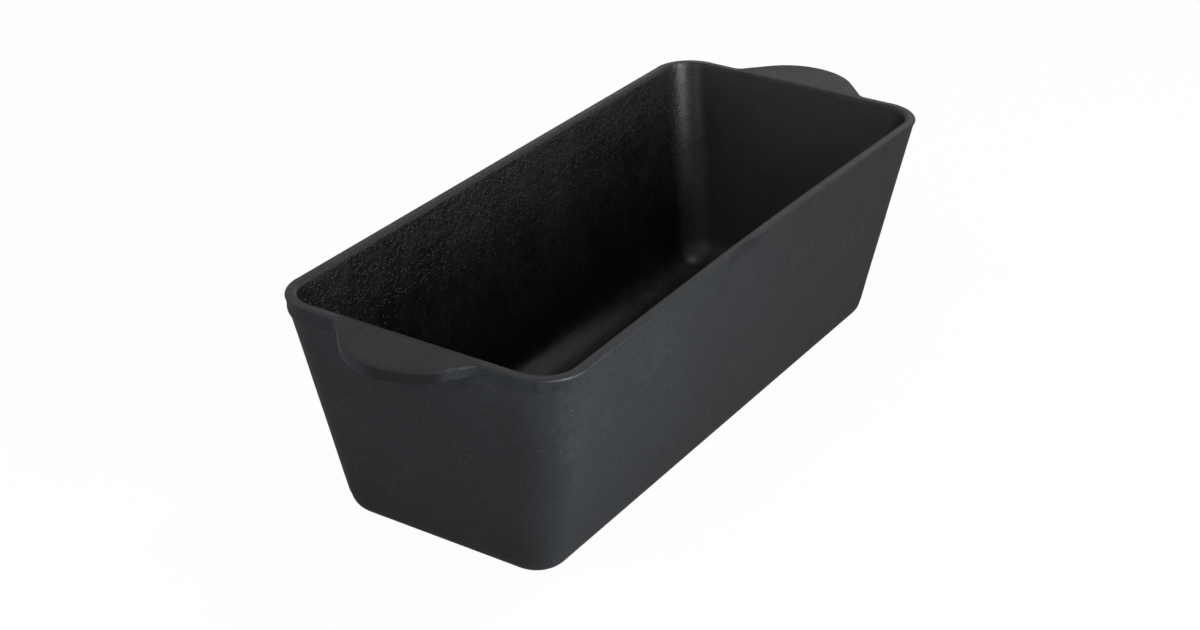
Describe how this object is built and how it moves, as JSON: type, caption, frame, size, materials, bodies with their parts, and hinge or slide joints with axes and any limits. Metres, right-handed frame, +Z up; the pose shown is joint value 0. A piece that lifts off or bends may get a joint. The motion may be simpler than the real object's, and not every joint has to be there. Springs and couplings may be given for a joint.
{
  "type": "cast iron bread pan",
  "caption": "Deep oblong cast iron bread pan with flared walls, a plain lip and a flat ear handle at each end.",
  "frame": {"origin": "middle of the pan's foot, on the surface that it stands on", "axes": "+X along the pan's length to one handle, +Y across it, +Z up through the mouth"},
  "size_m": [0.316, 0.1216, 0.09],
  "materials": {
    "seasoned_iron": "matt, oil-seasoned, with the fine grain of the sand mould"
  },
  "bodies": {
    "root": {"pan_casting": "seasoned_iron"}
  },
  "joints": []
}
